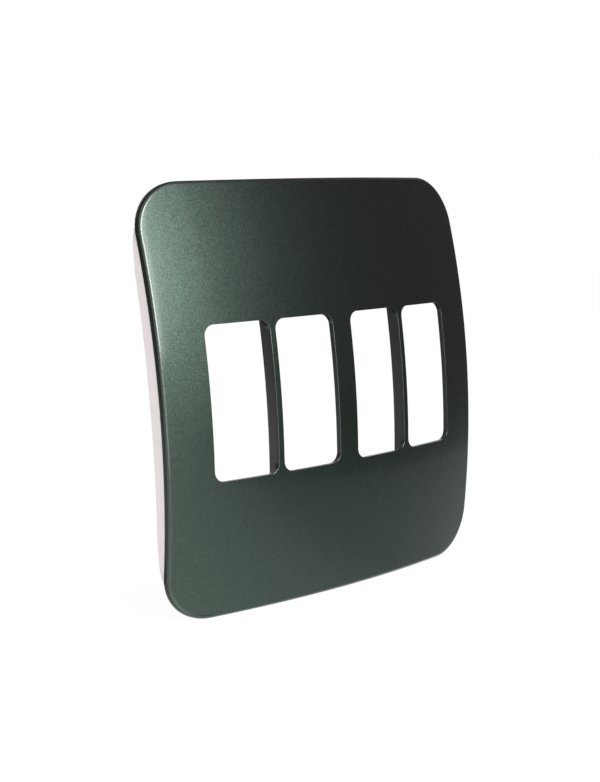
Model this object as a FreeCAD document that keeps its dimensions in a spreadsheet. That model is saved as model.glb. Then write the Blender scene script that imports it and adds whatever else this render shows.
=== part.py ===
import FreeCAD, Part
import math
import os
import Sketcher

# Grid switch cover plate: a dark domed sheet with four module openings, carried by a pale frame.
# Frame of the part: +Z up, front towards -Y, origin at the middle of the wall plane (y = 0).

SIZES = {
    # Domed sheet
    "plate_width": 120.0,
    "plate_height": 120.0,
    "corner_radius": 14.0,
    "dome_radius": 250.0,
    "corner_stand": 0.5,
    "sheet_thickness": 1.6,
    "rim_radius": 1.9,
    # Module openings, two pairs side by side
    "opening_width": 20.3,
    "opening_height": 42.8,
    "opening_radius": 3.0,
    "narrow_bar": 1.95,
    "centre_bar": 7.1,
    # Deep webs behind the two narrow bars
    "web_depth": 4.6,
    "web_overrun": 2.0,
    # Frame under the rim of the sheet
    "frame_inset": 0.15,
    "corner_tuck": 3.5,
    "frame_wall": 2.0,
    "seat_gap": 0.1,
    "ledge_width": 6.0,
    "ledge_thickness": 1.4,
    "arch_span": 74.0,
    "arch_rise": 1.9,
    # Snap lugs inside the top and bottom walls of the frame
    "lug_width": 8.0,
    "lug_spacing": 60.0,
    "lug_reach": 1.2,
    "lug_ramp": 1.8,
    "lug_setback": 0.8,
}
# How far blanks and cutters run past the plate
SPARE = 8.0

doc = FreeCAD.newDocument("grid_switch_plate")
sheet = doc.addObject("Spreadsheet::Sheet", "Sizes")
for row, (alias, value) in enumerate(SIZES.items(), start=1):
    sheet.set(f"A{row}", alias)
    sheet.set(f"B{row}", str(value))
    sheet.setAlias(f"B{row}", alias)
doc.recompute()


def cell(alias):
    """Expression text of one size in the sheet."""
    return f"Sizes.{alias}"


HALF_WIDTH = f"({cell('plate_width')} / 2)"
HALF_HEIGHT = f"({cell('plate_height')} / 2)"
BALL = cell("dome_radius")
CORNER_FALL = f"({BALL} - sqrt({BALL}^2 - {HALF_WIDTH}^2 - {HALF_HEIGHT}^2))"
DEPTH = f"({CORNER_FALL} + {cell('corner_stand')})"
BALL_CENTRE = f"({BALL} - {DEPTH})"
SEAT = f"({cell('sheet_thickness')} + {cell('seat_gap')})"
FRAME_RADIUS = f"({cell('corner_radius')} + {cell('corner_tuck')})"
HALF_OPENING = f"({cell('opening_height')} / 2)"
BAR_PLACE = f"({cell('centre_bar')} / 2 + {cell('opening_width')} + {cell('narrow_bar')} / 2)"


def number(expression):
    """Plain number that an expression gives now."""
    value = sheet.evalExpression(expression)
    return float(getattr(value, "Value", value))


def origin_plane(body, role):
    """Origin plane of a body, by its role."""
    return next(f for f in body.Origin.OriginFeatures if f.Role == role)


def new_body(label):
    """Empty body with its label."""
    body = doc.addObject("PartDesign::Body", label)
    body.Label = label
    return body


def new_sketch(body, name, role, offset=None):
    """Sketch on one of the body's own origin planes, or beside it by an expression."""
    sketch = body.newObject("Sketcher::SketchObject", name)
    sketch.AttachmentSupport = [(origin_plane(body, role), "")]
    sketch.MapMode = "FlatFace"
    if offset:
        sketch.setExpression(".AttachmentOffset.Base.z", offset)
    return sketch


def bind(sketch, constraint, name, expression):
    """Adds a constraint under a name and ties it to an expression."""
    index = sketch.addConstraint(constraint)
    sketch.renameConstraint(index, name)
    sketch.setExpression(f"Constraints.{name}", expression)


def from_origin(sketch, kind, geo, point, name, expression):
    """Ties one coordinate of a point to an expression, measured from the origin."""
    value = number(expression)
    ends = (-1, 1, geo, point) if value >= 0 else (geo, point, -1, 1)
    text = expression if value >= 0 else f"-({expression})"
    bind(sketch, Sketcher.Constraint(kind, *ends, abs(value)), name, text)


def rounded_rectangle(sketch, name, left, right, bottom, top, radius):
    """Adds a closed rectangle with round corners, all its sizes given as expressions."""
    x0, x1, z0, z1, r = (number(e) for e in (left, right, bottom, top, radius))
    centres = [(x1 - r, z1 - r), (x0 + r, z1 - r), (x0 + r, z0 + r), (x1 - r, z0 + r)]
    arcs = []
    for quarter, (x, z) in enumerate(centres):
        circle = Part.Circle(FreeCAD.Vector(x, z, 0), FreeCAD.Vector(0, 0, 1), r)
        start = quarter * math.pi / 2
        arcs.append(sketch.addGeometry(Part.ArcOfCircle(circle, start, start + math.pi / 2)))
    sides = []
    for arc, following in zip(arcs, arcs[1:] + arcs[:1]):
        ends = sketch.getPoint(arc, 2), sketch.getPoint(following, 1)
        side = sketch.addGeometry(Part.LineSegment(*ends))
        sides.append(side)
        sketch.addConstraint(Sketcher.Constraint("Tangent", arc, 2, side, 1))
        sketch.addConstraint(Sketcher.Constraint("Tangent", side, 2, following, 1))
    for kind, side in zip(("Horizontal", "Vertical") * 2, sides):
        sketch.addConstraint(Sketcher.Constraint(kind, side))
    for arc in arcs[1:]:
        sketch.addConstraint(Sketcher.Constraint("Equal", arcs[0], arc))
    bind(sketch, Sketcher.Constraint("Radius", arcs[0], r), f"{name}_radius", radius)
    from_origin(sketch, "DistanceY", sides[0], 1, f"{name}_top", top)
    from_origin(sketch, "DistanceX", sides[1], 1, f"{name}_left", left)
    from_origin(sketch, "DistanceY", sides[2], 1, f"{name}_bottom", bottom)
    from_origin(sketch, "DistanceX", sides[3], 1, f"{name}_right", right)


def outline(sketch, name, inset, radius):
    """Adds the plate's outline, moved inwards by an expression."""
    rounded_rectangle(sketch, name, f"{inset} - {HALF_WIDTH}", f"{HALF_WIDTH} - ({inset})",
                      f"{inset} - {HALF_HEIGHT}", f"{HALF_HEIGHT} - ({inset})", radius)


def polygon(sketch, name, points):
    """Adds a closed polygon whose points are pairs of expressions."""
    places = [FreeCAD.Vector(number(x), number(y), 0) for x, y in points]
    lines = [sketch.addGeometry(Part.LineSegment(a, b)) for a, b in zip(places, places[1:] + places[:1])]
    for line, following in zip(lines, lines[1:] + lines[:1]):
        sketch.addConstraint(Sketcher.Constraint("Coincident", line, 2, following, 1))
    for index, (line, (x, y)) in enumerate(zip(lines, points)):
        from_origin(sketch, "DistanceX", line, 1, f"{name}_{index}_x", x)
        from_origin(sketch, "DistanceY", line, 1, f"{name}_{index}_y", y)


def blank_sheet(sketch):
    """Adds a rectangle that runs well past the plate's outline."""
    x, z = f"({HALF_WIDTH} + 3 * {SPARE})", f"({HALF_HEIGHT} + 3 * {SPARE})"
    polygon(sketch, "blank", [(f"-{x}", f"-{z}"), (x, f"-{z}"), (x, z), (f"-{x}", z)])


def front_arc(sketch, name, centre, radius, reach):
    """Adds an arc that bulges to the front, its centre on the level axis and its ends at a height."""
    y, r, z = number(centre), number(radius), number(reach)
    half_sweep = math.asin(z / r)
    circle = Part.Circle(FreeCAD.Vector(y, 0, 0), FreeCAD.Vector(0, 0, 1), r)
    arc = sketch.addGeometry(Part.ArcOfCircle(circle, math.pi - half_sweep, math.pi + half_sweep))
    sketch.addConstraint(Sketcher.Constraint("PointOnObject", arc, 3, -1))
    from_origin(sketch, "DistanceX", arc, 3, f"{name}_centre", centre)
    bind(sketch, Sketcher.Constraint("Radius", arc, r), f"{name}_radius", radius)
    from_origin(sketch, "DistanceY", arc, 1, f"{name}_top", reach)
    from_origin(sketch, "DistanceY", arc, 2, f"{name}_bottom", f"-({reach})")
    return arc


def join(sketch, start, end):
    """Adds a straight line between the ends of two arcs."""
    line = sketch.addGeometry(Part.LineSegment(sketch.getPoint(*start), sketch.getPoint(*end)))
    sketch.addConstraint(Sketcher.Constraint("Coincident", *start, line, 1))
    sketch.addConstraint(Sketcher.Constraint("Coincident", *end, line, 2))


def layer_section(sketch, outer_radius, inner_radius, reach):
    """Adds the upright section of a layer of the dome, between two radii about the ball's centre."""
    outer = front_arc(sketch, "outer", BALL_CENTRE, outer_radius, reach)
    inner = front_arc(sketch, "inner", BALL_CENTRE, inner_radius, reach)
    join(sketch, (outer, 1), (inner, 1))
    join(sketch, (outer, 2), (inner, 2))


def turn_layer(body, kind, name, front, back):
    """Turns a layer of the dome about the ball's upright axis, to add it or to cut it away.

    front and back are the depths of its two faces behind the dome's own surface, as expressions.
    """
    sketch = new_sketch(body, f"{name}_section", "YZ_Plane")
    ends = FreeCAD.Vector(number(BALL_CENTRE), 0, 0), FreeCAD.Vector(number(BALL_CENTRE), SPARE, 0)
    axis = sketch.addGeometry(Part.LineSegment(*ends), True)
    sketch.addConstraint(Sketcher.Constraint("PointOnObject", axis, 1, -1))
    sketch.addConstraint(Sketcher.Constraint("Vertical", axis))
    from_origin(sketch, "DistanceX", axis, 1, "axis_place", BALL_CENTRE)
    from_origin(sketch, "DistanceY", axis, 2, "axis_length", str(SPARE))
    layer_section(sketch, f"{BALL} - ({front})", f"{BALL} - ({back})", f"{HALF_HEIGHT} + {SPARE}")
    feature = body.newObject(f"PartDesign::{kind}", name)
    feature.Profile = sketch
    feature.ReferenceAxis = (sketch, ["Axis0"])
    feature.Midplane = True
    feature.setExpression("Angle", f"2 * asin(({HALF_WIDTH} + {SPARE}) / ({BALL} - {DEPTH}))")
    return feature


def pad(body, name, sketch, length, midplane=False):
    """Pads a sketch by an expression."""
    feature = body.newObject("PartDesign::Pad", name)
    feature.Profile = sketch
    feature.Midplane = midplane
    feature.setExpression("Length", length)
    return feature


def cut_through(body, name, sketch):
    """Cuts a sketch right through the body, both ways."""
    feature = body.newObject("PartDesign::Pocket", name)
    feature.Profile = sketch
    feature.Type = "ThroughAll"
    feature.Midplane = True
    return feature


def mirror_across(body, name, feature):
    """Mirrors a feature from one side of the plate to the other."""
    copy = body.newObject("PartDesign::Mirrored", name)
    copy.Originals = [feature]
    copy.MirrorPlane = (origin_plane(body, "YZ_Plane"), [""])
    body.Tip = copy
    return copy


def rim_edges(shape):
    """Names of the edges where the dome's front face meets the outside of the sheet."""
    domes = [face for face in shape.Faces if isinstance(face.Surface, Part.Sphere)]
    front = max(domes, key=lambda face: face.Surface.Radius)
    places = enumerate(shape.Edges, start=1)
    return [f"Edge{i}" for i, edge in places if any(edge.isSame(other) for other in front.Edges)]


def opening_sides():
    """Left and right edge of each opening, as expressions, from left to right."""
    width = cell("opening_width")
    inner = f"{cell('centre_bar')} / 2"
    outer = f"({inner} + {width} + {cell('narrow_bar')})"
    pairs = [(inner, f"{inner} + {width}"), (outer, f"{outer} + {width}")]
    return [(f"-({b})", f"-({a})") for a, b in reversed(pairs)] + pairs


def make_face_plate():
    """Domed sheet with a rolled rim, four openings and a deep web behind each narrow bar."""
    body = new_body("face_plate")
    turn_layer(body, "Revolution", "dome", "0", cell("sheet_thickness"))
    trim = new_sketch(body, "outline_sketch", "XZ_Plane")
    blank_sheet(trim)
    outline(trim, "outline", "0", cell("corner_radius"))
    cut = cut_through(body, "outline_cut", trim)
    doc.recompute()
    rim = body.newObject("PartDesign::Fillet", "rolled_rim")
    rim.Base = (cut, rim_edges(cut.Shape))
    rim.setExpression("Radius", cell("rim_radius"))
    openings = new_sketch(body, "openings_sketch", "XZ_Plane")
    for index, (left, right) in enumerate(opening_sides()):
        rounded_rectangle(openings, f"opening_{index}", left, right, f"-{HALF_OPENING}", HALF_OPENING,
                          cell("opening_radius"))
    cut_through(body, "openings", openings)
    section = new_sketch(body, "web_section", "YZ_Plane", BAR_PLACE)
    front, back = f"({BALL} - {cell('sheet_thickness')} / 2)", f"({BALL} - {cell('web_depth')})"
    layer_section(section, f"sqrt({front}^2 - {BAR_PLACE}^2)", f"sqrt({back}^2 - {BAR_PLACE}^2)",
                  f"{HALF_OPENING} + {cell('web_overrun')}")
    web = pad(body, "web", section, cell("narrow_bar"), midplane=True)
    mirror_across(body, "webs", web)
    return body


def make_back_frame():
    """Frame under the sheet's rim: a ledge, a wall that stands on the wall plane, arches and snap lugs."""
    body = new_body("back_frame")
    inset = cell("frame_inset")
    turn_layer(body, "Revolution", "ledge", SEAT, f"{SEAT} + {cell('ledge_thickness')}")
    ring = new_sketch(body, "ledge_sketch", "XZ_Plane")
    blank_sheet(ring)
    outline(ring, "outside", inset, FRAME_RADIUS)
    outline(ring, "window", f"{inset} + {cell('ledge_width')}", f"{FRAME_RADIUS} - {cell('ledge_width')}")
    cut_through(body, "ledge_cut", ring)
    walls = new_sketch(body, "wall_sketch", "XZ_Plane")
    outline(walls, "outside", inset, FRAME_RADIUS)
    outline(walls, "inside", f"{inset} + {cell('frame_wall')}", f"{FRAME_RADIUS} - {cell('frame_wall')}")
    pad(body, "walls", walls, DEPTH)
    turn_layer(body, "Groove", "seat_trim", f"-2 * {SPARE}", SEAT)
    behind = new_sketch(body, "wall_plane_sketch", "XZ_Plane")
    blank_sheet(behind)
    flat = body.newObject("PartDesign::Pocket", "wall_plane")
    flat.Profile = behind
    flat.setExpression("Length", f"2 * {SPARE}")
    cut_arches(body)
    add_lugs(body)
    return body


def cut_arches(body):
    """Lifts the back edge of the two side walls off the wall plane in a shallow arch."""
    sketch = new_sketch(body, "arch_sketch", "YZ_Plane")
    half, rise = f"({cell('arch_span')} / 2)", cell("arch_rise")
    radius = f"(({half}^2 + {rise}^2) / (2 * {rise}))"
    arc = front_arc(sketch, "arch", f"{radius} - {rise}", radius, half)
    join(sketch, (arc, 1), (arc, 2))
    cut_through(body, "arches", sketch)


def add_lugs(body):
    """Adds wedges inside the top and bottom walls, which snap over the edge of the fixing yoke."""
    sketch = new_sketch(body, "lug_section", "YZ_Plane", f"{cell('lug_spacing')} / 2")
    root = f"({HALF_HEIGHT} - {cell('frame_inset')} - {cell('frame_wall')} / 2)"
    crest = f"({HALF_HEIGHT} - {cell('frame_inset')} - {cell('frame_wall')} - {cell('lug_reach')})"
    back = f"-{cell('lug_setback')}"
    catch = f"{back} - {cell('lug_ramp')}"
    for name, sign in (("upper", ""), ("lower", "-")):
        foot, tip = f"{sign}{root}", f"{sign}{crest}"
        polygon(sketch, name, [(back, foot), (catch, foot), (catch, tip)])
    lug = pad(body, "lug", sketch, cell("lug_width"), midplane=True)
    mirror_across(body, "lugs", lug)


bodies = [make_face_plate(), make_back_frame()]
doc.recompute()
for item in doc.Objects:
    if "Invalid" in item.State or "Error" in item.State:
        raise RuntimeError(f"{item.Name} failed: {item.State}")
for body in bodies:
    if body.Shape.isNull() or not body.Shape.isValid():
        raise RuntimeError(f"{body.Label} has no valid shape")
os.makedirs("parts", exist_ok=True)
for body in bodies:
    body.Shape.exportStep(f"parts/{body.Label}.step")
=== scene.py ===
"""Looks of a grid switch plate.

A domed metallic face on a pale moulded frame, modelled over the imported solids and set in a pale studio.
"""

from __future__ import annotations

import logging
import math
import sys
from dataclasses import dataclass
from enum import Enum
from typing import Any, Callable, Sequence

import bmesh
import bpy
from mathutils import Matrix, Vector

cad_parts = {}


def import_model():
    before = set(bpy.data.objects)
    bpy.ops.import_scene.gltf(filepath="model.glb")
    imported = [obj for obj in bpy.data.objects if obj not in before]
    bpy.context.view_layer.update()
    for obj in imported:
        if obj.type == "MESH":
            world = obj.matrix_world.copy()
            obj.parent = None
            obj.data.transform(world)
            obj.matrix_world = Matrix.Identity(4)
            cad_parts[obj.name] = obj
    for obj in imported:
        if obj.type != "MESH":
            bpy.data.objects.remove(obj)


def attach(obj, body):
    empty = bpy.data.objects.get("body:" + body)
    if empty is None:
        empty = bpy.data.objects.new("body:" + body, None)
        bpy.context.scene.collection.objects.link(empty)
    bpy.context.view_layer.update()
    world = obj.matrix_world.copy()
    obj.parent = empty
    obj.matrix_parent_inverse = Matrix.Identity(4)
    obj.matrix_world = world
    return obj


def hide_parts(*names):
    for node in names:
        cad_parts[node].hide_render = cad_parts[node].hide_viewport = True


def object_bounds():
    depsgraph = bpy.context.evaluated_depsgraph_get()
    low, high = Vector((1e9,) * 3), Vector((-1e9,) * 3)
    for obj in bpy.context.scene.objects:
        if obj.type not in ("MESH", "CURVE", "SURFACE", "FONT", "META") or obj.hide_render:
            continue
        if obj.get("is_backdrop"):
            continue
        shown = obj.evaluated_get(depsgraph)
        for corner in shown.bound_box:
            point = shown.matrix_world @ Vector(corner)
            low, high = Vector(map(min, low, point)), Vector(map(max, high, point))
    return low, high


LOG = logging.getLogger("grid_switch_plate")
Triple = tuple[float, float, float]

# One millimetre in metres
MM = 0.001
# How far apart two places in millimetres may be and still count as one
NEAR = 0.01
# The same for coordinates in metres, for welding corners, and for cuts
TINY = 1e-6
WELD = 2e-6
CUT = 1e-7
# Place along Y, in millimetres, where a flat sheet is drawn before it is pressed onto the dome
START_DEPTH = -20.0
# Part of a normal along Y from which a face looks to the front or back, and up to which it stands upright
FACING = 0.8
UPRIGHT = 0.2


class Element(Enum):
    """What a pick selects in edit mode."""

    VERTEX = "VERT"
    EDGE = "EDGE"
    FACE = "FACE"


class Axis(Enum):
    """A direction of the part's frame that a cut is made across."""

    X = (1.0, 0.0, 0.0)
    Y = (0.0, 1.0, 0.0)
    Z = (0.0, 0.0, 1.0)


class Slot(Enum):
    """The record's material slots."""

    FACE = "face_paint"
    FRAME = "frame_plastic"


class Mark(Enum):
    """Face attributes that the paint reads."""

    UNPAINTED = "unpainted"
    ROLLED = "rolled"


def everything(_item: Any) -> bool:
    """True for anything, to pick or cut all of a mesh."""
    return True


def centre_mm(item: Any) -> Vector:
    """Middle of an edge or face, in millimetres.

    Args:
        item: An edge or face in edit mode.

    Returns:
        The mean place of its corners.
    """
    places = [vertex.co for vertex in item.verts]
    return sum(places, Vector()) / len(places) / MM


def is_front(face: bmesh.types.BMFace) -> bool:
    """True for a face that looks out of the wall."""
    return face.normal.y < -FACING


def is_back(face: bmesh.types.BMFace | bpy.types.MeshPolygon) -> bool:
    """True for a face that looks into the wall."""
    return face.normal.y > FACING


def is_wall(face: bmesh.types.BMFace | bpy.types.MeshPolygon) -> bool:
    """True for a face that stands upright on the wall plane."""
    return abs(face.normal.y) < UPRIGHT


class Bench:
    """One mesh on the bench, shaped in edit mode by operators that act on what is picked."""

    # Smallest share of the largest face's area at which a face counts as the largest
    LARGEST = 0.999
    # Rings, opening angle in degrees and spokes of the cap that a sheet is pressed onto
    CAP_RINGS = 84
    CAP_ANGLE = 21.0
    CAP_SPOKES = 360

    def __init__(self, name: str, width: float, height: float) -> None:
        """Adds an upright plane that looks to the front.

        Args:
            name: Name of the finished piece.
            width: Width in millimetres.
            height: Height in millimetres.
        """
        bpy.ops.object.select_all(action="DESELECT")
        bpy.ops.mesh.primitive_plane_add(
            size=MM, location=(0, START_DEPTH * MM, 0), rotation=(math.pi / 2, 0, 0))
        self.obj: bpy.types.Object = bpy.context.object
        self.obj.name = name
        self.obj.data.name = name
        self.obj.scale = (width, height, 1)
        bpy.ops.object.transform_apply(location=True, rotation=True, scale=True)
        bpy.ops.object.mode_set(mode="EDIT")

    def pick(self, element: Element, test: Callable[[Any], bool]) -> None:
        """Selects what passes a test, and nothing else.

        Args:
            element: Kind of element to select.
            test: Takes a vertex, edge or face and says whether it is wanted.
        """
        bpy.ops.mesh.select_mode(type=element.value)
        bpy.ops.mesh.select_all(action="DESELECT")
        mesh = bmesh.from_edit_mesh(self.obj.data)
        mesh.normal_update()
        groups = {Element.VERTEX: mesh.verts, Element.EDGE: mesh.edges, Element.FACE: mesh.faces}
        wanted = [item for item in groups[element] if test(item)]
        for item in wanted:
            item.select_set(True)
        mesh.select_flush_mode()
        bmesh.update_edit_mesh(self.obj.data)

    def round_corners(self, radius: float, steps: int) -> None:
        """Rounds the four corners of the bare plane.

        Args:
            radius: Corner radius in millimetres.
            steps: Edges in each corner.
        """
        self.pick(Element.VERTEX, everything)
        bpy.ops.mesh.bevel(
            offset=radius * MM, offset_type="ABSOLUTE", segments=steps, profile=0.5, affect="VERTICES")

    def inset(self, width: float) -> None:
        """Insets the largest face.

        Args:
            width: Width of the band that is left round it, in millimetres.
        """
        mesh = bmesh.from_edit_mesh(self.obj.data)
        largest = max(face.calc_area() for face in mesh.faces)
        self.pick(Element.FACE, lambda face: face.calc_area() > self.LARGEST * largest)
        bpy.ops.mesh.inset(thickness=width * MM, use_even_offset=True)

    def bisect(self, axis: Axis, place: float, keep_half: bool = False) -> None:
        """Cuts a straight line across the picked faces.

        Args:
            axis: Direction that the line is cut across.
            place: Place of the line along it, in millimetres.
            keep_half: True to keep only what lies beyond the line.
        """
        bpy.ops.mesh.bisect(
            plane_co=[part * place * MM for part in axis.value], plane_no=axis.value,
            clear_inner=keep_half, threshold=CUT)

    def cut(self, axis: Axis, places: Sequence[float], where: Callable[[Vector], bool] = everything) -> None:
        """Cuts straight lines across the faces.

        Args:
            axis: Direction that the lines are cut across.
            places: Places of the lines along it, in millimetres.
            where: Takes a face's middle in millimetres and says whether it is cut.
        """
        for place in places:
            self.pick(Element.FACE, lambda face: where(centre_mm(face)))
            self.bisect(axis, place)

    def keep_quarter(self) -> None:
        """Cuts away all but the upper right quarter."""
        for axis in (Axis.X, Axis.Z):
            self.pick(Element.FACE, everything)
            self.bisect(axis, 0.0, keep_half=True)

    def extrude(self, step: Triple) -> None:
        """Extrudes the picked faces along a step in millimetres."""
        bpy.ops.mesh.extrude_region_move(TRANSFORM_OT_translate={"value": [part * MM for part in step]})

    def move(self, step: Triple) -> None:
        """Moves what is picked along a step in millimetres."""
        bpy.ops.transform.translate(value=[part * MM for part in step])

    def delete(self) -> None:
        """Deletes the picked faces."""
        bpy.ops.mesh.delete(type="FACE")

    def flatten(self, depth: float) -> None:
        """Presses the picked corners onto a plane across Y, at a depth in millimetres."""
        bpy.ops.transform.resize(value=(1, 0, 1), center_override=(0, depth * MM, 0))

    def weld(self) -> None:
        """Welds corners that lie on each other."""
        bpy.ops.mesh.select_all(action="SELECT")
        bpy.ops.mesh.remove_doubles(threshold=WELD)

    def merge(self) -> None:
        """Welds corners that lie on each other and turns all faces outwards."""
        self.weld()
        bpy.ops.mesh.normals_make_consistent(inside=False)

    def bevel(self, width: float, steps: int) -> None:
        """Rounds the picked edges.

        Args:
            width: Width taken from each face, in millimetres.
            steps: Faces in the rounding.
        """
        bpy.ops.mesh.bevel(
            offset=width * MM, offset_type="OFFSET", segments=steps, profile=0.5, affect="EDGES",
            clamp_overlap=False, loop_slide=True)

    def modifier(self, kind: str, settings: dict[str, Any]) -> None:
        """Adds a modifier, applies it and goes on in edit mode.

        Args:
            kind: Type of the modifier.
            settings: Its settings by name.
        """
        bpy.ops.object.mode_set(mode="OBJECT")
        bpy.context.view_layer.objects.active = self.obj
        self.obj.select_set(True)
        made = self.obj.modifiers.new(kind.lower(), kind)
        for key, value in settings.items():
            setattr(made, key, value)
        bpy.ops.object.modifier_apply(modifier=made.name)
        bpy.ops.object.mode_set(mode="EDIT")

    def mirror(self) -> None:
        """Mirrors the quarter to the other three."""
        settings = {"use_axis": (True, False, True), "use_mirror_merge": True, "merge_threshold": WELD}
        self.modifier("MIRROR", settings)

    def press_on_ball(self, radius: float, middle: float) -> None:
        """Moves every corner along Y, towards the wall, onto the cap of a ball.

        Args:
            radius: Radius of the ball in millimetres.
            middle: Place of its middle along Y, in millimetres.
        """
        bpy.ops.object.mode_set(mode="OBJECT")
        cap = self.spin_cap(radius, middle)
        self.modifier("SHRINKWRAP", {"wrap_method": "PROJECT", "target": cap, "use_project_y": True})
        bpy.data.objects.remove(cap)

    def spin_cap(self, radius: float, middle: float) -> bpy.types.Object:
        """Spins one corner to an arc, and the arc to the front cap of a ball.

        Args:
            radius: Radius of the ball in millimetres.
            middle: Place of its middle along Y, in millimetres.

        Returns:
            The cap.
        """
        bpy.ops.object.select_all(action="DESELECT")
        bpy.ops.mesh.primitive_plane_add(size=MM, location=(0, (middle - radius) * MM, 0))
        cap = bpy.context.object
        bpy.ops.object.transform_apply(location=True, rotation=True, scale=True)
        bpy.ops.object.mode_set(mode="EDIT")
        bpy.ops.mesh.select_mode(type=Element.VERTEX.value)
        bpy.ops.mesh.select_all(action="SELECT")
        bpy.ops.mesh.merge(type="CENTER")
        bpy.ops.mesh.spin(
            steps=self.CAP_RINGS, angle=math.radians(self.CAP_ANGLE), center=(0, middle * MM, 0),
            axis=Axis.X.value)
        bpy.ops.mesh.select_all(action="SELECT")
        bpy.ops.mesh.spin(steps=self.CAP_SPOKES, angle=math.tau, center=(0, 0, 0), axis=Axis.Y.value)
        bpy.ops.object.mode_set(mode="OBJECT")
        bpy.ops.object.select_all(action="DESELECT")
        return cap

    def finish(self, angle: float) -> bpy.types.Object:
        """Leaves edit mode with smooth shading.

        Args:
            angle: Largest angle in degrees between faces that are shaded as one.

        Returns:
            The finished object.
        """
        self.merge()
        bpy.ops.mesh.select_all(action="DESELECT")
        bpy.ops.object.mode_set(mode="OBJECT")
        bpy.ops.object.select_all(action="DESELECT")
        self.obj.select_set(True)
        bpy.context.view_layer.objects.active = self.obj
        bpy.ops.object.shade_smooth_by_angle(angle=math.radians(angle))
        weighted = self.obj.modifiers.new("weighted", "WEIGHTED_NORMAL")
        weighted.keep_sharp = True
        bpy.ops.object.modifier_apply(modifier=weighted.name)
        self.obj.select_set(False)
        return self.obj


class Wire:
    """An output socket of a shader node; arithmetic on it adds Math nodes."""

    def __init__(self, graph: Graph, socket: bpy.types.NodeSocket) -> None:
        """Keeps the socket and the graph that it is in."""
        self.graph = graph
        self.socket = socket

    def math(self, operation: str, *values: Wire | float) -> Wire:
        """Adds one Math node and returns its result."""
        return self.graph.node("ShaderNodeMath", {"operation": operation}, dict(enumerate(values)))

    def __add__(self, other: Wire | float) -> Wire:
        """Sum."""
        return self.math("ADD", self, other)

    def __radd__(self, other: float) -> Wire:
        """Sum with a number first."""
        return self.math("ADD", other, self)

    def __sub__(self, other: Wire | float) -> Wire:
        """Difference."""
        return self.math("SUBTRACT", self, other)

    def __rsub__(self, other: float) -> Wire:
        """Difference with a number first."""
        return self.math("SUBTRACT", other, self)

    def __mul__(self, other: Wire | float) -> Wire:
        """Product."""
        return self.math("MULTIPLY", self, other)

    def __rmul__(self, other: float) -> Wire:
        """Product with a number first."""
        return self.math("MULTIPLY", other, self)

    def maximum(self, other: Wire | float) -> Wire:
        """The larger of the two."""
        return self.math("MAXIMUM", self, other)


class Graph:
    """The node tree of a material or of the world."""

    def __init__(self, owner: bpy.types.Material | bpy.types.World) -> None:
        """Starts with an empty tree.

        Args:
            owner: The material or world that the tree belongs to.
        """
        owner.use_nodes = True
        self.tree = owner.node_tree
        self.tree.nodes.clear()

    def node(self, kind: str, settings: dict[str, Any], values: dict[str | int, Any],
             output: str | int = 0) -> Wire:
        """Adds a node.

        Args:
            kind: Its type.
            settings: Its own settings, set first; "stops" gives a ramp's places and colours.
            values: The value or wire of each input, by name or number.
            output: Output that is wanted, by name or number.

        Returns:
            That output.
        """
        made = self.tree.nodes.new(kind)
        for key, value in settings.items():
            if key == "stops":
                self.set_stops(made.color_ramp.elements, value)
            else:
                setattr(made, key, value)
        for key, value in values.items():
            if isinstance(value, Wire):
                self.tree.links.new(value.socket, made.inputs[key])
            else:
                made.inputs[key].default_value = value
        return Wire(self, made.outputs[output] if made.outputs else None)

    @staticmethod
    def set_stops(elements: Any, stops: Sequence[tuple[float, Sequence[float]]]) -> None:
        """Sets a ramp's stops.

        Args:
            elements: The stops that the ramp has.
            stops: Place and colour of each stop that is wanted, in order.
        """
        for index, (place, colour) in enumerate(stops):
            stop = elements[index] if index < len(elements) else elements.new(place)
            stop.position = place
            stop.color = colour

    def place_mm(self) -> Wire:
        """Object coordinates in millimetres."""
        place = self.node("ShaderNodeTexCoord", {}, {}, "Object")
        return self.vector("SCALE", {"Vector": place, "Scale": 1 / MM})

    def vector(self, operation: str, values: dict[str | int, Any]) -> Wire:
        """Adds one Vector Math node and returns its result."""
        return self.node("ShaderNodeVectorMath", {"operation": operation}, values)

    def noise(self, place: Wire, per_mm: float, detail: float) -> Wire:
        """Soft noise about one half, at a scale per millimetre and with some octaves of detail."""
        return self.node("ShaderNodeTexNoise", {}, {"Vector": place, "Scale": per_mm, "Detail": detail})

    def attribute(self, mark: Mark) -> Wire:
        """Reads a mark on the faces."""
        return self.node("ShaderNodeAttribute", {"attribute_name": mark.value}, {}, "Fac")

    def mix(self, share: Wire, first: Triple, second: Triple) -> Wire:
        """Mixes two colours.

        Args:
            share: Share of the second colour.
            first: The first colour.
            second: The second colour.

        Returns:
            The mixed colour.
        """
        # A Mix node has its factor at input 0, and its colours at inputs 6 and 7 and output 2
        sockets = {0: share, 6: (*first, 1), 7: (*second, 1)}
        return self.node("ShaderNodeMix", {"data_type": "RGBA"}, sockets, 2)

    def mix_shader(self, share: Wire, first: Wire, second: Wire) -> Wire:
        """Mixes two shaders by a share of the second."""
        return self.node("ShaderNodeMixShader", {}, {0: share, 1: first, 2: second})

    def output(self, shader: Wire, kind: str = "ShaderNodeOutputMaterial") -> None:
        """Ends the tree in its output."""
        self.node(kind, {}, {"Surface": shader})


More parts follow.
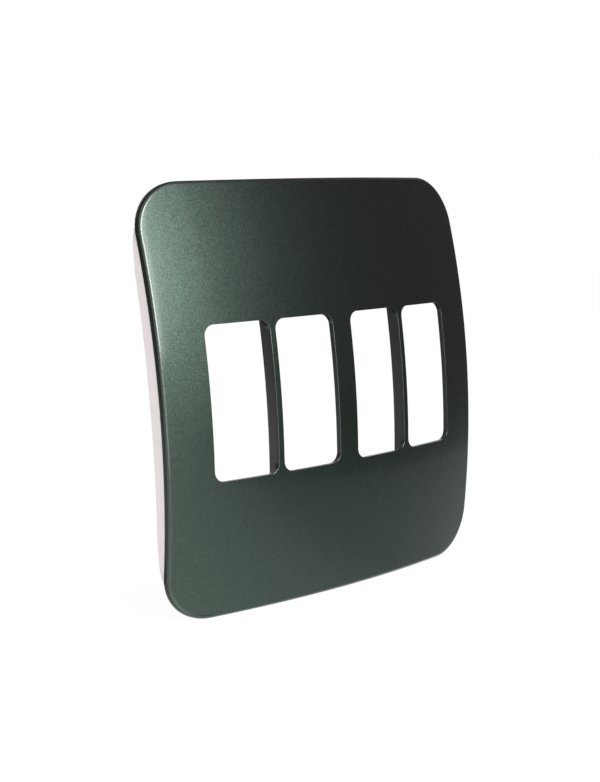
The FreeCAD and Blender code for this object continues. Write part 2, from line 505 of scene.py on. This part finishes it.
@dataclass(frozen=True)
class BarePlastic:
    """Dark moulded plastic where the face's paint doesn't reach."""

    body: Triple = (0.0092, 0.0084, 0.0079)
    shade_share: float = 0.8
    grain_per_mm: float = 4.0
    grain_detail: float = 2.0
    roughness: float = 0.3
    roughness_spread: float = 0.1

    def shader(self, graph: Graph, place: Wire) -> Wire:
        """Adds the plastic's nodes.

        Args:
            graph: The material's node tree.
            place: Coordinates in millimetres.

        Returns:
            The shader.
        """
        grain = graph.noise(place, self.grain_per_mm, self.grain_detail)
        red, green, blue = (self.shade_share * part for part in self.body)
        colour = graph.mix(grain, (red, green, blue), self.body)
        rough = self.roughness + (grain - 0.5) * self.roughness_spread
        return graph.node("ShaderNodeBsdfPrincipled", {}, {"Base Color": colour, "Roughness": rough})


@dataclass(frozen=True)
class MetallicPaint:
    """Satin paint with fine metal flakes, dark greenish charcoal, on bare plastic."""

    bare: BarePlastic = BarePlastic()
    body: Triple = (0.0333, 0.0515, 0.0405)
    shade: Triple = (0.0233, 0.0368, 0.029)
    flake_mm: float = 0.3
    flake_tilt: float = 0.06
    flake_weight: float = 0.6
    cloud_per_mm: float = 0.9
    cloud_detail: float = 3.0
    cloud_weight: float = 0.5
    cluster_per_mm: float = 1.3
    cluster_detail: float = 1.0
    cluster_weight: float = 1.1
    share_offset: float = 0.6
    roughness: float = 0.36
    roughness_spread: float = 0.06
    metallic: float = 0.96
    coat: float = 0.2
    edge_coat: float = 1.0
    coat_roughness: float = 0.1

    def material(self) -> bpy.types.Material:
        """Makes the material.

        Returns:
            Paint where it was sprayed, and bare plastic elsewhere.
        """
        made = bpy.data.materials.new("metallic_face_paint")
        graph = Graph(made)
        place = graph.place_mm()
        paint = self.shader(graph, place)
        bare = self.bare.shader(graph, place)
        graph.output(graph.mix_shader(graph.attribute(Mark.UNPAINTED), paint, bare))
        return made

    def shader(self, graph: Graph, place: Wire) -> Wire:
        """Adds the paint's nodes.

        Args:
            graph: The material's node tree.
            place: Coordinates in millimetres.

        Returns:
            The shader.
        """
        flake = graph.node("ShaderNodeTexVoronoi", {}, {"Vector": place, "Scale": 1 / self.flake_mm}, "Color")
        tone = graph.node("ShaderNodeSeparateColor", {}, {"Color": flake}, "Red")
        cloud = graph.noise(place, self.cloud_per_mm, self.cloud_detail)
        cluster = graph.noise(place, self.cluster_per_mm, self.cluster_detail)
        share = (tone * self.flake_weight + cloud * self.cloud_weight + cluster * self.cluster_weight
                 - self.share_offset)
        lacquer = graph.attribute(Mark.ROLLED) * (self.edge_coat - self.coat) + self.coat
        return graph.node("ShaderNodeBsdfPrincipled", {}, {
            "Base Color": graph.mix(share, self.shade, self.body),
            "Metallic": self.metallic,
            "Roughness": self.roughness + (cloud - 0.5) * self.roughness_spread,
            "Normal": self.tilted_normal(graph, flake),
            "Coat Weight": lacquer,
            "Coat Roughness": self.coat_roughness,
        })

    def tilted_normal(self, graph: Graph, flake: Wire) -> Wire:
        """Tilts the surface a little, each flake its own way.

        Args:
            graph: The material's node tree.
            flake: A colour that each flake has for itself.

        Returns:
            The tilted normal.
        """
        centred = graph.vector("SUBTRACT", {0: flake, 1: (0.5, 0.5, 0.5)})
        tilt = graph.vector("SCALE", {"Vector": centred, "Scale": self.flake_tilt})
        surface = graph.node("ShaderNodeNewGeometry", {}, {}, "Normal")
        tilted = graph.vector("ADD", {0: surface, 1: tilt})
        return graph.vector("NORMALIZE", {0: tilted})


@dataclass(frozen=True)
class FramePlastic:
    """Plain pale moulded plastic with a fine spark-eroded grain."""

    body: Triple = (0.765, 0.72, 0.715)
    shade: Triple = (0.725, 0.68, 0.675)
    cloud_per_mm: float = 0.12
    grain_per_mm: float = 5.0
    detail: float = 2.0
    grain_strength: float = 0.15
    grain_depth_mm: float = 0.03
    roughness: float = 0.45
    roughness_spread: float = 0.15

    def material(self) -> bpy.types.Material:
        """Makes the material.

        Returns:
            The pale plastic.
        """
        made = bpy.data.materials.new("pale_frame_plastic")
        graph = Graph(made)
        place = graph.place_mm()
        cloud = graph.noise(place, self.cloud_per_mm, self.detail)
        grain = graph.noise(place, self.grain_per_mm, self.detail)
        bump = graph.node("ShaderNodeBump", {}, {
            "Strength": self.grain_strength, "Distance": self.grain_depth_mm * MM, "Height": grain})
        shader = graph.node("ShaderNodeBsdfPrincipled", {}, {
            "Base Color": graph.mix(cloud, self.shade, self.body),
            "Roughness": self.roughness + (grain - 0.5) * self.roughness_spread,
            "Normal": bump,
        })
        graph.output(shader)
        return made


@dataclass(frozen=True)
class Dome:
    """The ball that the sheet is a piece of. Sizes are in millimetres."""

    radius: float = 250.0
    depth: float = 15.32

    @property
    def middle(self) -> float:
        """Place of the ball's middle along Y, in millimetres."""
        return self.radius - self.depth


@dataclass
class FacePlate:
    """The domed metallic sheet with its rolled rim, openings and webs.

    Sizes are in millimetres and angles in degrees. The rows and columns are lines of the mesh on its
    upper right quarter, which the dome needs to look round.
    """

    dome: Dome
    paint: MetallicPaint
    width: float = 119.99
    height: float = 119.99
    corner_radius: float = 14.0
    corner_steps: int = 14
    rim_band: float = 2.4
    rim_reach: float = 0.94
    rim_steps: int = 8
    thickness: float = 1.64
    opening_width: float = 20.3
    opening_height: float = 42.8
    opening_radius: float = 3.0
    opening_steps: int = 8
    narrow_bar: float = 1.95
    centre_bar: float = 7.1
    web_depth: float = 4.6
    web_overrun: float = 2.0
    web_back_width: float = 1.45
    lip: float = 0.2
    lip_steps: int = 4
    lip_search: float = 0.1
    rim_search: float = 1.0
    roll_start: float = 2.0
    roll_end: float = 45.0
    smooth_angle: float = 38.0
    rows_beside: tuple[float, ...] = (4.6, 9.2, 13.8)
    rows_above: tuple[float, ...] = (28.0, 32.5, 37.0, 41.5)
    columns_inner: tuple[float, ...] = (11.3, 16.2)
    columns_outer: tuple[float, ...] = (33.5, 38.4)
    lines_near_rim: tuple[float, ...] = (50.0, 54.0)

    def build(self) -> bpy.types.Object:
        """Models the sheet.

        Returns:
            The finished piece.
        """
        bench = Bench("face_plate_skin", self.width, self.height)
        self.draw_quarter(bench)
        bench.merge()
        bench.mirror()
        bench.press_on_ball(self.dome.radius, self.dome.middle)
        bench.pick(Element.FACE, everything)
        bench.extrude((0, self.thickness, 0))
        bench.merge()
        bench.pick(Element.FACE, self.is_web_back)
        bench.extrude((0, self.web_depth - self.thickness, 0))
        bench.merge()
        self.taper_webs(bench)
        self.free_corners(bench)
        bench.pick(Element.EDGE, self.is_rim_edge)
        bench.bevel(self.rim_reach, self.rim_steps)
        bench.pick(Element.EDGE, self.is_lip_edge)
        bench.bevel(self.lip, self.lip_steps)
        return bench.finish(self.smooth_angle)

    def sides(self) -> list[tuple[float, float]]:
        """Places the two openings on the right half.

        Returns:
            Left and right edge of each.
        """
        inner = self.centre_bar / 2
        outer = inner + self.opening_width + self.narrow_bar
        return [(inner, inner + self.opening_width), (outer, outer + self.opening_width)]

    def in_opening(self, place: Vector, spare: float = 0.0) -> bool:
        """True where a place lies inside an opening, with some spare round it."""
        across = any(left - spare < abs(place.x) < right + spare for left, right in self.sides())
        return across and abs(place.z) < self.opening_height / 2 + spare

    def on_bar(self, place: Vector) -> bool:
        """True where a place lies behind a narrow bar."""
        (_, left), (right, _) = self.sides()
        return left < abs(place.x) < right and abs(place.z) < self.opening_height / 2 + self.web_overrun

    def within_rim(self, place: Vector) -> bool:
        """True where a place on the quarter lies inside the rim band."""
        return max(place.x, place.z) < self.width / 2 - self.rim_band

    def is_web_back(self, face: bmesh.types.BMFace) -> bool:
        """True for a back face behind a narrow bar."""
        return is_back(face) and self.on_bar(centre_mm(face))

    @staticmethod
    def is_front_edge(edge: bmesh.types.BMEdge) -> bool:
        """True for an edge where the front meets an upright wall."""
        faces = edge.link_faces
        return len(faces) == 2 and any(map(is_front, faces)) and any(map(is_wall, faces))

    def is_rim_edge(self, edge: bmesh.types.BMEdge) -> bool:
        """True for a front edge of the outline."""
        return self.is_front_edge(edge) and not self.in_opening(centre_mm(edge), self.rim_search)

    def is_lip_edge(self, edge: bmesh.types.BMEdge) -> bool:
        """True for a front edge of an opening."""
        return self.is_front_edge(edge) and self.in_opening(centre_mm(edge), self.lip_search)

    def draw_quarter(self, bench: Bench) -> None:
        """Draws the upper right quarter of the flat outline, with its openings.

        Args:
            bench: The sheet on the bench.
        """
        top = self.opening_height / 2
        web_top = top + self.web_overrun
        turn = self.opening_radius
        straight = self.width / 2 - self.corner_radius
        (first, second), (third, fourth) = self.sides()
        rows = [*self.rows_beside, top - turn, top, web_top, *self.rows_above, straight]
        inner = [first, first + turn, *self.columns_inner, second - turn, second]
        outer = [third, third + turn, *self.columns_outer, fourth - turn]
        bench.round_corners(self.corner_radius, self.corner_steps)
        bench.inset(self.rim_band)
        bench.keep_quarter()
        bench.cut(Axis.Z, rows)
        bench.cut(Axis.Z, self.lines_near_rim, self.within_rim)
        bench.cut(Axis.X, inner + outer)
        bench.cut(Axis.X, [straight], lambda middle: middle.z > web_top)
        bench.cut(Axis.X, [fourth], lambda middle: middle.z < web_top)
        bench.cut(Axis.X, self.lines_near_rim, self.within_rim)
        bench.pick(Element.FACE, lambda face: self.in_opening(centre_mm(face)))
        bench.delete()
        for edge, inwards in ((first, 1), (second, -1), (third, 1), (fourth, -1)):
            self.round_opening(bench, edge, inwards)

    def round_opening(self, bench: Bench, edge: float, inwards: int) -> None:
        """Fills one upper corner of an opening up to its round corner.

        Args:
            bench: The sheet on the bench.
            edge: Place of the opening's side, in millimetres.
            inwards: 1 where the opening lies to the right of it, or -1.
        """
        top = self.opening_height / 2
        pivot = Vector((edge + inwards * self.opening_radius, START_DEPTH, top - self.opening_radius))
        start = Vector((pivot.x, START_DEPTH, top))
        bench.pick(Element.VERTEX, lambda vertex: (vertex.co / MM - start).length < NEAR)
        bpy.ops.mesh.spin(
            steps=self.opening_steps, angle=inwards * math.pi / 2, center=pivot * MM, axis=Axis.Y.value)
        bench.weld()
        low, high = sorted((edge, pivot.x))
        bench.pick(Element.VERTEX, lambda vertex: low - NEAR < vertex.co.x / MM < high + NEAR
                   and pivot.z - NEAR < vertex.co.z / MM < top + NEAR)
        bpy.ops.mesh.edge_face_add()

    def taper_webs(self, bench: Bench) -> None:
        """Narrows the back end of each web, as a mould needs.

        Args:
            bench: The sheet on the bench.
        """
        (_, left), (right, _) = self.sides()
        for side in (-1, 1):
            bench.pick(Element.FACE, lambda face: self.is_web_back(face) and face.verts[0].co.x * side > 0)
            bpy.ops.transform.resize(
                value=(self.web_back_width / self.narrow_bar, 1, 1),
                center_override=(side * (left + right) / 2 * MM, 0, 0))

    def free_corners(self, bench: Bench) -> None:
        """Dissolves the two front lines that end in each round corner, so that its lip has room."""
        bench.pick(Element.EDGE, self.ends_in_corner)
        bpy.ops.mesh.dissolve_edges(use_verts=False)

    def ends_in_corner(self, edge: bmesh.types.BMEdge) -> bool:
        """Tests for a front line between an opening's sharp corner and its round one.

        Args:
            edge: An edge of the sheet.

        Returns:
            True for such a line.
        """
        if not all(is_front(face) for face in edge.link_faces):
            return False
        middle = centre_mm(edge)
        below_top = self.opening_height / 2 - abs(middle.z)
        half_turn = self.opening_radius / 2
        offsets = [abs(abs(middle.x) - place) for pair in self.sides() for place in pair]
        level = abs(below_top) < NEAR and any(abs(offset - half_turn) < NEAR for offset in offsets)
        upright = abs(below_top - half_turn) < NEAR and any(offset < NEAR for offset in offsets)
        return upright or (level and self.in_opening(middle, self.lip_search))

    def mark_faces(self, piece: bpy.types.Object) -> None:
        """Marks where the sprayed paint doesn't reach, and where its lacquer gathers on rounded edges.

        Args:
            piece: The finished sheet.
        """
        ball = Vector((0, self.dome.middle * MM, 0))
        inside = self.width / 2 - self.rim_band
        bare = piece.data.attributes.new(Mark.UNPAINTED.value, "FLOAT", "FACE")
        rolled = piece.data.attributes.new(Mark.ROLLED.value, "FLOAT", "FACE")
        for index, face in enumerate(piece.data.polygons):
            place = face.center / MM
            inner_wall = is_wall(face) and max(abs(place.x), abs(place.z)) < inside
            turned = math.degrees(face.normal.angle(face.center - ball))
            bare.data[index].value = float(inner_wall or is_back(face))
            rolled.data[index].value = float(self.roll_start < turned < self.roll_end)

    def dress(self, piece: bpy.types.Object) -> None:
        """Gives the sheet its paint and its place in the part.

        Args:
            piece: The finished sheet.
        """
        piece.data.materials.append(self.paint.material())
        self.mark_faces(piece)
        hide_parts("face_plate")
        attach(piece, "root")


@dataclass
class BackFrame:
    """The pale frame under the sheet's rim.

    Sizes are in millimetres and angles in degrees. The rows and columns are lines of the mesh on its
    upper right quarter.
    """

    dome: Dome
    plastic: FramePlastic
    width: float = 119.7
    height: float = 119.7
    corner_radius: float = 17.5
    corner_steps: int = 14
    wall: float = 2.0
    wall_search: float = 0.1
    ledge_width: float = 6.0
    ledge_thickness: float = 1.43
    ledge_stand: float = 0.05
    seat: float = 1.7
    arch_span: float = 74.0
    arch_rise: float = 1.9
    lug_place: float = 30.0
    lug_width: float = 8.0
    lug_reach: float = 1.2
    lug_catch: float = -2.6
    lug_back: float = -0.8
    lug_search: float = 0.05
    edge_round: float = 0.2
    edge_steps: int = 2
    edge_angle: float = 50.0
    smooth_angle: float = 40.0
    rows: tuple[float, ...] = (4.0, 8.0, 12.0, 16.0, 20.0, 24.0, 28.0, 32.0)
    columns: tuple[float, ...] = (5.0, 10.0, 15.0, 20.0)
    column_past_lug: float = 38.5

    def build(self) -> bpy.types.Object:
        """Models the frame as a quarter, with one lug, and mirrors it.

        Returns:
            The finished piece.
        """
        bench = Bench("back_frame_ring", self.width, self.height)
        self.draw_quarter(bench)
        bench.press_on_ball(self.dome.radius - self.seat, self.dome.middle)
        self.raise_walls(bench)
        self.cut_arch(bench)
        self.pull_lug(bench)
        bench.pick(Element.FACE, self.is_mirror_face)
        bench.delete()
        bench.mirror()
        bench.merge()
        bench.modifier("BEVEL", {
            "width": self.edge_round * MM, "segments": self.edge_steps, "limit_method": "ANGLE",
            "angle_limit": math.radians(self.edge_angle), "use_clamp_overlap": True})
        return bench.finish(self.smooth_angle)

    def straight(self) -> float:
        """Half the length of a side between its round corners."""
        return self.width / 2 - self.corner_radius

    @staticmethod
    def is_mirror_face(face: bmesh.types.BMFace) -> bool:
        """True for a face on one of the two planes that the quarter is mirrored at."""
        places = [vertex.co for vertex in face.verts]
        return all(abs(place.x) < TINY for place in places) or all(abs(place.z) < TINY for place in places)

    def is_middle(self, face: bmesh.types.BMFace) -> bool:
        """True for the face that the ring is left round."""
        middle = centre_mm(face)
        return max(abs(middle.x), abs(middle.z)) < self.ledge_width

    def is_wall_back(self, face: bmesh.types.BMFace) -> bool:
        """Tests for a back face of the wall's own band.

        Args:
            face: A face of the quarter.

        Returns:
            True for such a face.
        """
        if not is_back(face):
            return False
        straight = self.straight()
        middle = centre_mm(face)
        if min(middle.x, middle.z) > straight:
            return math.hypot(middle.x - straight, middle.z - straight) > self.corner_radius - self.wall
        return max(middle.x, middle.z) > self.width / 2 - self.wall

    def under_lug(self, face: bmesh.types.BMFace) -> bool:
        """Tests for the stretch of the top wall's inside that the lug stands on.

        Args:
            face: A face of the quarter.

        Returns:
            True for a face of that stretch.
        """
        middle = centre_mm(face)
        on_inside = abs(middle.z - self.height / 2 + self.wall) < self.lug_search
        looks_down = face.normal.z < -FACING
        return looks_down and on_inside and abs(middle.x - self.lug_place) < self.lug_width / 2

    def draw_quarter(self, bench: Bench) -> None:
        """Draws the upper right quarter of the flat ring: a band for the wall and one for the ledge.

        Args:
            bench: The ring on the bench.
        """
        half_lug = self.lug_width / 2
        lug_sides = [self.lug_place - half_lug, self.lug_place + half_lug]
        bench.round_corners(self.corner_radius, self.corner_steps)
        bench.inset(self.wall)
        bench.inset(self.ledge_width - self.wall)
        bench.pick(Element.FACE, self.is_middle)
        bench.delete()
        bench.keep_quarter()
        bench.cut(Axis.X, [*self.columns, *lug_sides, self.column_past_lug, self.straight()])
        bench.cut(Axis.Z, [*self.rows, self.arch_span / 2, self.straight()])

    def raise_walls(self, bench: Bench) -> None:
        """Gives the ledge its thickness and takes the wall back to the wall plane.

        Args:
            bench: The ring on the bench.
        """
        bench.pick(Element.FACE, everything)
        bench.extrude((0, self.ledge_thickness, 0))
        bench.merge()
        bench.pick(Element.VERTEX, lambda vertex: vertex.co.y > -self.ledge_stand * MM)
        bench.flatten(-self.ledge_stand)
        bench.pick(Element.FACE, self.is_wall_back)
        bench.extrude((0, NEAR, 0))
        bench.flatten(0.0)
        bench.merge()

    def cut_arch(self, bench: Bench) -> None:
        """Lifts the back edge of the side wall off the wall plane along a shallow arch.

        Args:
            bench: The ring on the bench.
        """
        half = self.arch_span / 2
        radius = (half ** 2 + self.arch_rise ** 2) / (2 * self.arch_rise)
        inner = self.width / 2 - self.wall - self.wall_search
        corners = bmesh.from_edit_mesh(bench.obj.data).verts
        places = sorted({round(corner.co.z / MM, 3) for corner in corners if corner.co.z < half * MM - TINY})
        for place in places:
            bench.pick(Element.VERTEX, lambda vertex: vertex.co.x > inner * MM and abs(vertex.co.y) < TINY
                       and abs(vertex.co.z / MM - place) < NEAR)
            lift = math.sqrt(radius ** 2 - place ** 2) - (radius - self.arch_rise)
            bench.move((0, -lift, 0))

    def pull_lug(self, bench: Bench) -> None:
        """Pulls one snap lug out of the inside of the top wall, with a slope towards the wall plane.

        Args:
            bench: The ring on the bench.
        """
        tip = self.height / 2 - self.wall - self.lug_reach
        for place in (self.lug_catch, self.lug_back):
            bench.pick(Element.FACE, self.under_lug)
            bench.bisect(Axis.Y, place)
        bench.pick(Element.FACE, lambda face: self.under_lug(face)
                   and self.lug_catch < centre_mm(face).y < self.lug_back)
        bench.extrude((0, 0, -self.lug_reach))
        bench.pick(Element.VERTEX, lambda vertex: abs(vertex.co.z / MM - tip) < NEAR
                   and abs(vertex.co.y / MM - self.lug_back) < NEAR)
        bench.move((0, 0, self.lug_reach))
        bench.merge()

    def dress(self, piece: bpy.types.Object) -> None:
        """Gives the frame its plastic and its place in the part.

        Args:
            piece: The finished frame.
        """
        piece.data.materials.append(self.plastic.material())
        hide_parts("back_frame")
        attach(piece, "root")


@dataclass(frozen=True)
class Card:
    """A studio card that only shows in reflections. Sizes are in metres, angles in degrees.

    It stands on the floor at a turn and distance from the object, or lies down where it leans by 90.
    An even card has one level of brightness. A fade gives shares of that level at places across it.
    """

    name: str
    turn: float
    distance: float
    size: tuple[float, float]
    level: float
    slide: float = 0.0
    lean: float = 0.0
    lift: float = 0.001
    tint: Triple = (1.0, 1.0, 1.0)
    fade: tuple[tuple[float, float], ...] = ()

    def build(self, floor_level: float) -> None:
        """Stands the card up, leaning away from the object.

        Args:
            floor_level: Height of the floor in metres.
        """
        turn = math.radians(self.turn)
        lean = math.radians(self.lean)
        out = Vector((math.sin(turn), -math.cos(turn), 0))
        along = Vector((math.cos(turn), math.sin(turn), 0))
        rise = out * math.sin(lean) + Vector((0, 0, math.cos(lean)))
        foot = out * self.distance + along * self.slide + Vector((0, 0, floor_level + self.lift))
        bpy.ops.object.select_all(action="DESELECT")
        bpy.ops.mesh.primitive_plane_add(
            size=1.0, location=foot + rise * self.size[1] / 2, rotation=(math.pi / 2 + lean, 0, turn))
        card = bpy.context.object
        card.name = self.name
        card.scale = (*self.size, 1)
        bpy.ops.object.transform_apply(location=False, rotation=False, scale=True)
        card.data.materials.append(self.material())
        card.visible_camera = False
        card.visible_diffuse = False
        card.visible_shadow = False
        card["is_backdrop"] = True

    def material(self) -> bpy.types.Material:
        """Makes the card's glow.

        Returns:
            An even glow, or one that fades across the card.
        """
        made = bpy.data.materials.new(self.name)
        graph = Graph(made)
        colour = self.faded(graph) if self.fade else (*self.tint, 1)
        graph.output(graph.node("ShaderNodeEmission", {}, {"Color": colour, "Strength": self.level}))
        return made

    def faded(self, graph: Graph) -> Wire:
        """Grades the card's tint across its width.

        Args:
            graph: The material's node tree.

        Returns:
            The graded colour.
        """
        place = graph.node("ShaderNodeTexCoord", {}, {}, "Object")
        across = graph.node("ShaderNodeSeparateXYZ", {}, {"Vector": place}, "X")
        stops = [(stop, (*(share * part for part in self.tint), 1)) for stop, share in self.fade]
        return graph.node("ShaderNodeValToRGB", {"stops": stops}, {0: across * (1 / self.size[0]) + 0.5})


@dataclass(frozen=True)
class Softbox:
    """A soft lamp that looks at the object. Angles are in degrees, sizes in metres."""

    name: str
    turn: float
    lift: float
    distance: float
    size: tuple[float, float]
    power: float
    tint: Triple = (1.04, 0.98, 1.01)

    def build(self) -> None:
        """Hangs the lamp at its turn and lift, seen from the object."""
        turn = math.radians(self.turn)
        lift = math.radians(self.lift)
        out = Vector((math.sin(turn) * math.cos(lift), -math.cos(turn) * math.cos(lift), math.sin(lift)))
        data = bpy.data.lights.new(self.name, "AREA")
        data.shape = "RECTANGLE"
        data.size, data.size_y = self.size
        data.energy = self.power
        data.color = self.tint
        lamp = bpy.data.objects.new(self.name, data)
        lamp.location = out * self.distance
        lamp.rotation_mode = "QUATERNION"
        lamp.rotation_quaternion = (-out).to_track_quat("-Z", "Y")
        bpy.context.scene.collection.objects.link(lamp)


@dataclass
class Studio:
    """Camera, floor, world, lamps and cards. Places are in metres."""

    camera_place: Triple = (-0.272301, -0.307571, 0.035587)
    camera_right: Triple = (0.748962, -0.659211, -0.067060)
    camera_down: Triple = (-0.141512, -0.060262, -0.988101)
    camera_forward: Triple = (0.647326, 0.749539, -0.138420)
    lens: float = 64.05
    sensor: float = 36.0
    shift_y: float = 0.0882
    nearest: float = 0.01
    farthest: float = 50.0
    floor_size: float = 8.0
    floor_colour: Triple = (0.9, 0.9, 0.9)
    floor_glow: float = 1.06
    floor_glow_share: float = 0.85
    world_level: float = 0.72
    lamps: tuple[Softbox, ...] = (
        Softbox("tall_softbox", turn=-2, lift=21, distance=1.2, size=(0.34, 0.76), power=16.5),
        Softbox("strip_softbox", turn=-20, lift=22, distance=1.2, size=(0.09, 0.7), power=5.0),
    )
    cards: tuple[Card, ...] = (
        Card("dark_card_right", turn=52, distance=0.42, slide=0.27, size=(1.2, 0.8), level=0.19,
             tint=(1.28, 0.87, 1.07)),
        Card("dark_card_floor", turn=21, distance=0.108, slide=0.35, lean=90, size=(0.8, 0.3), level=0.19,
             lift=0.002),
        Card("dark_card_left", turn=-112, distance=0.5, size=(0.84, 0.5), level=0.27),
        Card("light_card_floor", turn=0, distance=0.004, slide=0.05, lean=90, size=(0.3, 0.3), level=1.95,
             fade=((0.1, 0.641), (0.15, 1.0), (0.41, 0.4256), (1.0, 0.3692))),
        Card("dark_card_back", turn=180, distance=0.02, slide=-0.02, lean=90, size=(0.24, 0.15), level=0.1,
             lift=0.0015),
        Card("dark_card_back_left", turn=-142, distance=0.66, size=(0.6, 0.35), level=0.12),
        Card("dark_card_over", turn=180, distance=-0.1, lean=90, size=(1.8, 0.9), level=0.16, lift=0.76),
        Card("light_card_left", turn=-18, distance=0.19, slide=-0.05, size=(0.1, 0.085), level=2.8),
    )

    def build(self, floor_level: float) -> None:
        """Sets the stage.

        Args:
            floor_level: Height of the floor in metres.
        """
        bpy.context.scene.view_settings.view_transform = "Standard"
        self.add_camera()
        self.light_world()
        self.add_floor(floor_level)
        for card in self.cards:
            card.build(floor_level)
        for lamp in self.lamps:
            lamp.build()

    def add_camera(self) -> None:
        """Adds the camera at the photograph's angle."""
        data = bpy.data.cameras.new("camera")
        data.lens = self.lens
        data.sensor_width = self.sensor
        data.sensor_fit = "AUTO"
        data.shift_y = self.shift_y
        data.clip_start = self.nearest
        data.clip_end = self.farthest
        made = bpy.data.objects.new("camera", data)
        bpy.context.scene.collection.objects.link(made)
        axes = (Vector(self.camera_right), -Vector(self.camera_down), -Vector(self.camera_forward))
        turned = Matrix(axes).transposed().to_4x4()
        turned.translation = self.camera_place
        made.matrix_world = turned
        bpy.context.scene.camera = made

    def seen_directly(self, graph: Graph) -> Wire:
        """Tells the camera's own rays, with those in a reflection or through glass, from light.

        Args:
            graph: The node tree of a material or of the world.

        Returns:
            1 for such a ray, and 0 for any other.
        """
        camera, glossy, through = (
            graph.node("ShaderNodeLightPath", {}, {}, name)
            for name in ("Is Camera Ray", "Is Glossy Ray", "Is Transmission Ray"))
        return camera.maximum(glossy).maximum(through)

    def light_world(self) -> None:
        """Lights the object evenly from all round, with a white background."""
        world = bpy.data.worlds.new("white_studio")
        bpy.context.scene.world = world
        graph = Graph(world)
        light = graph.node("ShaderNodeBackground", {}, {"Color": (1, 1, 1, 1), "Strength": self.world_level})
        white = graph.node("ShaderNodeBackground", {}, {"Color": (1, 1, 1, 1), "Strength": 1.0})
        graph.output(graph.mix_shader(self.seen_directly(graph), light, white), "ShaderNodeOutputWorld")

    def add_floor(self, level: float) -> None:
        """Adds a plain pale floor that keeps a faint shadow.

        Args:
            level: Height of the floor in metres.
        """
        bpy.ops.object.select_all(action="DESELECT")
        bpy.ops.mesh.primitive_plane_add(size=self.floor_size, location=(0, 0, level))
        floor = bpy.context.object
        floor.name = "floor"
        material = bpy.data.materials.new("pale_floor")
        graph = Graph(material)
        matt = graph.node("ShaderNodeBsdfDiffuse", {}, {"Color": (*self.floor_colour, 1)})
        white = graph.node("ShaderNodeEmission", {}, {"Color": (1, 1, 1, 1), "Strength": self.floor_glow})
        share = self.seen_directly(graph) * self.floor_glow_share
        graph.output(graph.mix_shader(share, matt, white))
        floor.data.materials.append(material)
        floor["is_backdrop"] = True


def main() -> None:
    """Builds the pieces in order, then the stage."""
    logging.basicConfig(level=logging.INFO, format="%(name)s: %(message)s", stream=sys.stdout)
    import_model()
    solid_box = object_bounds()
    dome = Dome()
    for maker in (FacePlate(dome, MetallicPaint()), BackFrame(dome, FramePlastic())):
        piece = maker.build()
        maker.dress(piece)
        LOG.info("%s: %d faces", piece.name, len(piece.data.polygons))
    Studio().build(solid_box[0].z)


if __name__ == "__main__":
    main()
